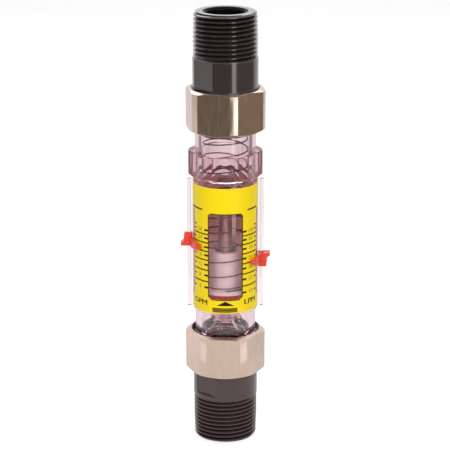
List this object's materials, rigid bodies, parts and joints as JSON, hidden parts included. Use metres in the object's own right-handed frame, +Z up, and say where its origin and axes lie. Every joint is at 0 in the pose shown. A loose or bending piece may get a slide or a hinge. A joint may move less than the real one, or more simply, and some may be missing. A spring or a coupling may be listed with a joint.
{
  "type": "in-line flow meter",
  "caption": "Upright in-line variable area flow meter with a clear body, spring-loaded piston, yellow scale, sliding set pointers and union pipe ends",
  "frame": {"origin": "centre of the inlet end face, which is the bottom of the bounding box", "axes": "+Z runs up along the flow axis, -Y faces the scale, +X is to the right as the scale is read"},
  "size_m": [0.0374, 0.0334, 0.184],
  "materials": {
    "dark_plastic": "near-black moulded plastic with fine turned marks",
    "seal_rubber": "black rubber",
    "nickel": "satin nickel plate on turned bar",
    "clear_plastic": "clear moulding with a slight pink tint",
    "yellow_film": "printed yellow film",
    "pale_plastic": "off-white moulded plastic",
    "stainless": "turned or drawn stainless steel",
    "red_plastic": "glossy red moulded plastic"
  },
  "bodies": {
    "meter": {"lower_fitting": "dark_plastic", "upper_fitting": "dark_plastic", "lower_seal_ring": "seal_rubber", "upper_seal_ring": "seal_rubber", "meter_body": "clear_plastic", "scale_label": "yellow_film", "rear_label": "yellow_film", "cone_carrier": "clear_plastic", "carrier_snap_ring": "stainless", "metering_cone": "stainless", "cone_screw": "stainless", "travel_stop": "stainless", "return_spring": "stainless", "spring_seat": "pale_plastic", "seat_snap_ring": "stainless"},
    "piston_group": {"piston": "pale_plastic", "orifice_plate": "stainless", "indicator_ring": "red_plastic"},
    "lower_nut": {"lower_union_nut": "nickel"},
    "upper_nut": {"upper_union_nut": "nickel"},
    "left_set_pointer": {"left_pointer": "red_plastic"},
    "right_set_pointer": {"right_pointer": "red_plastic"}
  },
  "joints": [
    {"name": "piston_slide", "type": "slide", "parent": "meter", "child": "piston_group", "axis": [0, 0, 1], "range_m": [0, 0.03], "stiffness_N_per_m": 100, "springref_m": -0.01, "deforming": ["return_spring"]},
    {"name": "left_pointer_slide", "type": "slide", "parent": "meter", "child": "left_set_pointer", "axis": [0, 0, 1], "range_m": [-0.0272, 0.0229]},
    {"name": "right_pointer_slide", "type": "slide", "parent": "meter", "child": "right_set_pointer", "axis": [0, 0, 1], "range_m": [-0.01805, 0.03205]},
    {"name": "lower_nut_turn", "type": "hinge", "parent": "meter", "child": "lower_nut", "pos_m": [0, 0, 0.0393], "axis": [0, 0, -1], "range_deg": [0, 360]},
    {"name": "upper_nut_turn", "type": "hinge", "parent": "meter", "child": "upper_nut", "pos_m": [0, 0, 0.1436], "axis": [0, 0, 1], "range_deg": [0, 360]}
  ]
}
